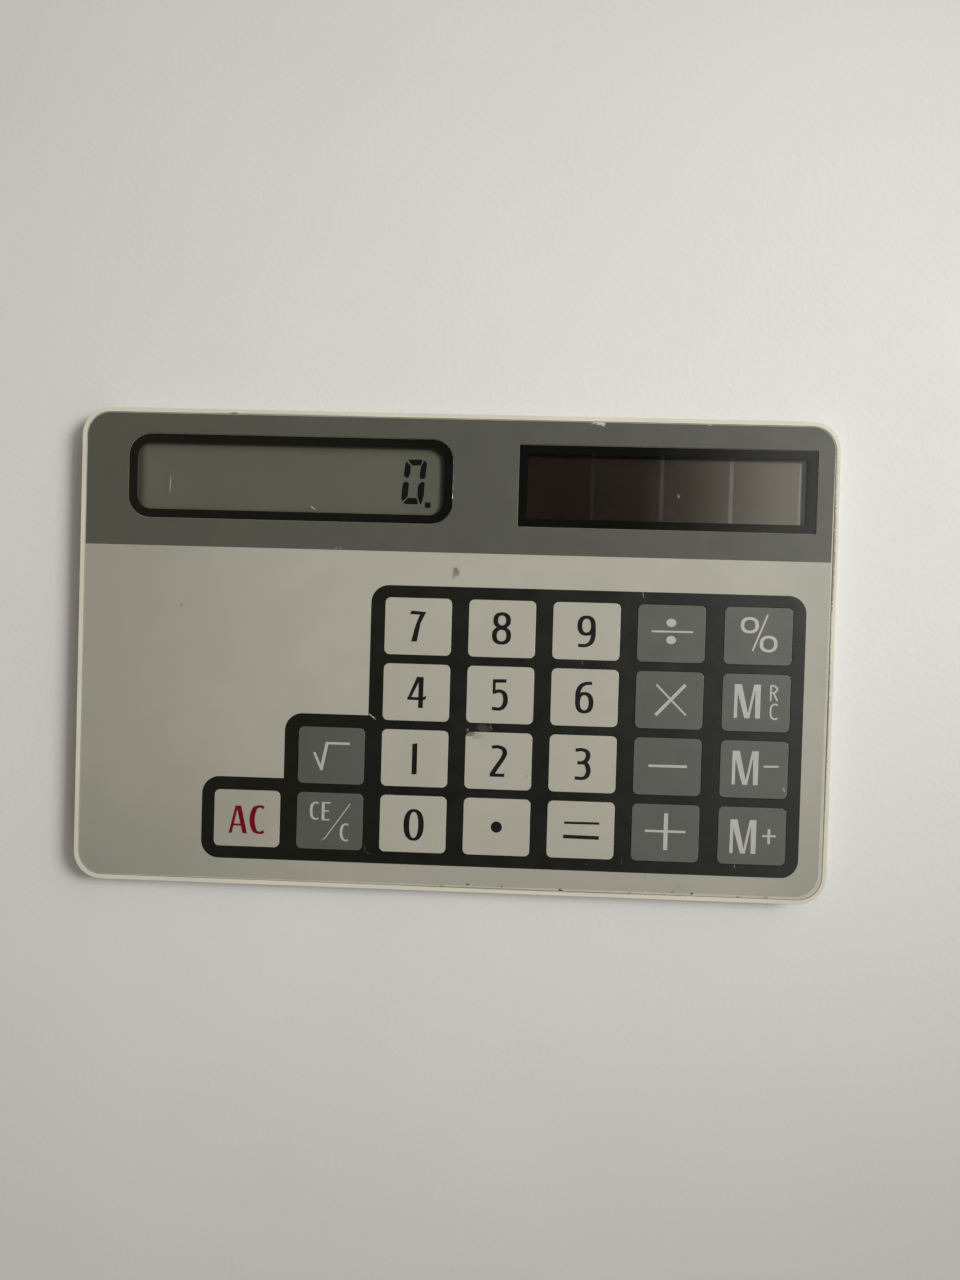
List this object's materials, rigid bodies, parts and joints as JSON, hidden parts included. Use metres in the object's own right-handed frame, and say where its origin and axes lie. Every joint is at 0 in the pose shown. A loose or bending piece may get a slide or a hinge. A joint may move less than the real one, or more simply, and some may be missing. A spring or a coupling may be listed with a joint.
{
  "type": "solar calculator",
  "caption": "Thin solar calculator the size of a bank card, with a recessed display, a strip of solar cells and flush membrane keys in a stepped black field.",
  "frame": {"origin": "middle of the underside", "axes": "+X along the card's length, towards the right as the keys are read; +Y towards the header with the display; +Z out of the face"},
  "size_m": [0.0856, 0.054, 0.0028],
  "materials": {
    "cream_plastic": "satin",
    "cover_plastic": "fine matt grain",
    "printed_film": "satin print",
    "light_key_film": "satin print",
    "dark_key_film": "satin print",
    "clear_pane": "polished",
    "adhesive": "tacky",
    "spacer_plastic": "satin",
    "board_laminate": "satin",
    "black_resin": "gloss",
    "component_case": "moulded",
    "polarizer": "anti-glare",
    "display_glass": "polished",
    "reflector": "satin",
    "foam": "matt",
    "ribbon_film": "satin",
    "solar_glass": "polished",
    "solar_silicon": "gloss",
    "solar_backing": "satin",
    "lead_wire": "tinned"
  },
  "bodies": {
    "housing": {"case_frame": "cream_plastic", "rear_cover": "cover_plastic", "face_film": "printed_film", "display_pane": "clear_pane", "solar_pane": "clear_pane", "face_adhesive": "adhesive", "rear_adhesive": "adhesive", "spacer_sheet": "spacer_plastic", "circuit_board": "board_laminate", "chip_cover": "black_resin", "storage_capacitor": "component_case", "reset_capacitor": "component_case", "timing_resistor": "component_case", "limiter_diode": "component_case", "display_front_polarizer": "polarizer", "display_front_glass": "display_glass", "display_rear_glass": "display_glass", "display_rear_polarizer": "reflector", "display_cushion": "foam", "display_ribbon": "ribbon_film", "solar_glass": "solar_glass", "solar_cell_1": "solar_silicon", "solar_cell_2": "solar_silicon", "solar_cell_3": "solar_silicon", "solar_cell_4": "solar_silicon", "solar_backing": "solar_backing", "solar_cushion": "foam", "solar_lead_positive": "lead_wire", "solar_lead_negative": "lead_wire"},
    "key_7": {"key_7": "light_key_film"},
    "key_8": {"key_8": "light_key_film"},
    "key_9": {"key_9": "light_key_film"},
    "key_divide": {"key_divide": "dark_key_film"},
    "key_percent": {"key_percent": "dark_key_film"},
    "key_4": {"key_4": "light_key_film"},
    "key_5": {"key_5": "light_key_film"},
    "key_6": {"key_6": "light_key_film"},
    "key_multiply": {"key_multiply": "dark_key_film"},
    "key_memory_recall": {"key_memory_recall": "dark_key_film"},
    "key_square_root": {"key_square_root": "dark_key_film"},
    "key_1": {"key_1": "light_key_film"},
    "key_2": {"key_2": "light_key_film"},
    "key_3": {"key_3": "light_key_film"},
    "key_minus": {"key_minus": "dark_key_film"},
    "key_memory_minus": {"key_memory_minus": "dark_key_film"},
    "key_all_clear": {"key_all_clear": "light_key_film"},
    "key_clear_entry": {"key_clear_entry": "dark_key_film"},
    "key_0": {"key_0": "light_key_film"},
    "key_point": {"key_point": "light_key_film"},
    "key_equals": {"key_equals": "light_key_film"},
    "key_plus": {"key_plus": "dark_key_film"},
    "key_memory_plus": {"key_memory_plus": "dark_key_film"}
  },
  "joints": [
    {"name": "key_7_press", "type": "slide", "parent": "housing", "child": "key_7", "axis": [0, 0, -1], "range_m": [0, 0.0003], "stiffness_N_per_m": 3000},
    {"name": "key_8_press", "type": "slide", "parent": "housing", "child": "key_8", "axis": [0, 0, -1], "range_m": [0, 0.0003], "stiffness_N_per_m": 3000},
    {"name": "key_9_press", "type": "slide", "parent": "housing", "child": "key_9", "axis": [0, 0, -1], "range_m": [0, 0.0003], "stiffness_N_per_m": 3000},
    {"name": "key_divide_press", "type": "slide", "parent": "housing", "child": "key_divide", "axis": [0, 0, -1], "range_m": [0, 0.0003], "stiffness_N_per_m": 3000},
    {"name": "key_percent_press", "type": "slide", "parent": "housing", "child": "key_percent", "axis": [0, 0, -1], "range_m": [0, 0.0003], "stiffness_N_per_m": 3000},
    {"name": "key_4_press", "type": "slide", "parent": "housing", "child": "key_4", "axis": [0, 0, -1], "range_m": [0, 0.0003], "stiffness_N_per_m": 3000},
    {"name": "key_5_press", "type": "slide", "parent": "housing", "child": "key_5", "axis": [0, 0, -1], "range_m": [0, 0.0003], "stiffness_N_per_m": 3000},
    {"name": "key_6_press", "type": "slide", "parent": "housing", "child": "key_6", "axis": [0, 0, -1], "range_m": [0, 0.0003], "stiffness_N_per_m": 3000},
    {"name": "key_multiply_press", "type": "slide", "parent": "housing", "child": "key_multiply", "axis": [0, 0, -1], "range_m": [0, 0.0003], "stiffness_N_per_m": 3000},
    {"name": "key_memory_recall_press", "type": "slide", "parent": "housing", "child": "key_memory_recall", "axis": [0, 0, -1], "range_m": [0, 0.0003], "stiffness_N_per_m": 3000},
    {"name": "key_square_root_press", "type": "slide", "parent": "housing", "child": "key_square_root", "axis": [0, 0, -1], "range_m": [0, 0.0003], "stiffness_N_per_m": 3000},
    {"name": "key_1_press", "type": "slide", "parent": "housing", "child": "key_1", "axis": [0, 0, -1], "range_m": [0, 0.0003], "stiffness_N_per_m": 3000},
    {"name": "key_2_press", "type": "slide", "parent": "housing", "child": "key_2", "axis": [0, 0, -1], "range_m": [0, 0.0003], "stiffness_N_per_m": 3000},
    {"name": "key_3_press", "type": "slide", "parent": "housing", "child": "key_3", "axis": [0, 0, -1], "range_m": [0, 0.0003], "stiffness_N_per_m": 3000},
    {"name": "key_minus_press", "type": "slide", "parent": "housing", "child": "key_minus", "axis": [0, 0, -1], "range_m": [0, 0.0003], "stiffness_N_per_m": 3000},
    {"name": "key_memory_minus_press", "type": "slide", "parent": "housing", "child": "key_memory_minus", "axis": [0, 0, -1], "range_m": [0, 0.0003], "stiffness_N_per_m": 3000},
    {"name": "key_all_clear_press", "type": "slide", "parent": "housing", "child": "key_all_clear", "axis": [0, 0, -1], "range_m": [0, 0.0003], "stiffness_N_per_m": 3000},
    {"name": "key_clear_entry_press", "type": "slide", "parent": "housing", "child": "key_clear_entry", "axis": [0, 0, -1], "range_m": [0, 0.0003], "stiffness_N_per_m": 3000},
    {"name": "key_0_press", "type": "slide", "parent": "housing", "child": "key_0", "axis": [0, 0, -1], "range_m": [0, 0.0003], "stiffness_N_per_m": 3000},
    {"name": "key_point_press", "type": "slide", "parent": "housing", "child": "key_point", "axis": [0, 0, -1], "range_m": [0, 0.0003], "stiffness_N_per_m": 3000},
    {"name": "key_equals_press", "type": "slide", "parent": "housing", "child": "key_equals", "axis": [0, 0, -1], "range_m": [0, 0.0003], "stiffness_N_per_m": 3000},
    {"name": "key_plus_press", "type": "slide", "parent": "housing", "child": "key_plus", "axis": [0, 0, -1], "range_m": [0, 0.0003], "stiffness_N_per_m": 3000},
    {"name": "key_memory_plus_press", "type": "slide", "parent": "housing", "child": "key_memory_plus", "axis": [0, 0, -1], "range_m": [0, 0.0003], "stiffness_N_per_m": 3000}
  ]
}
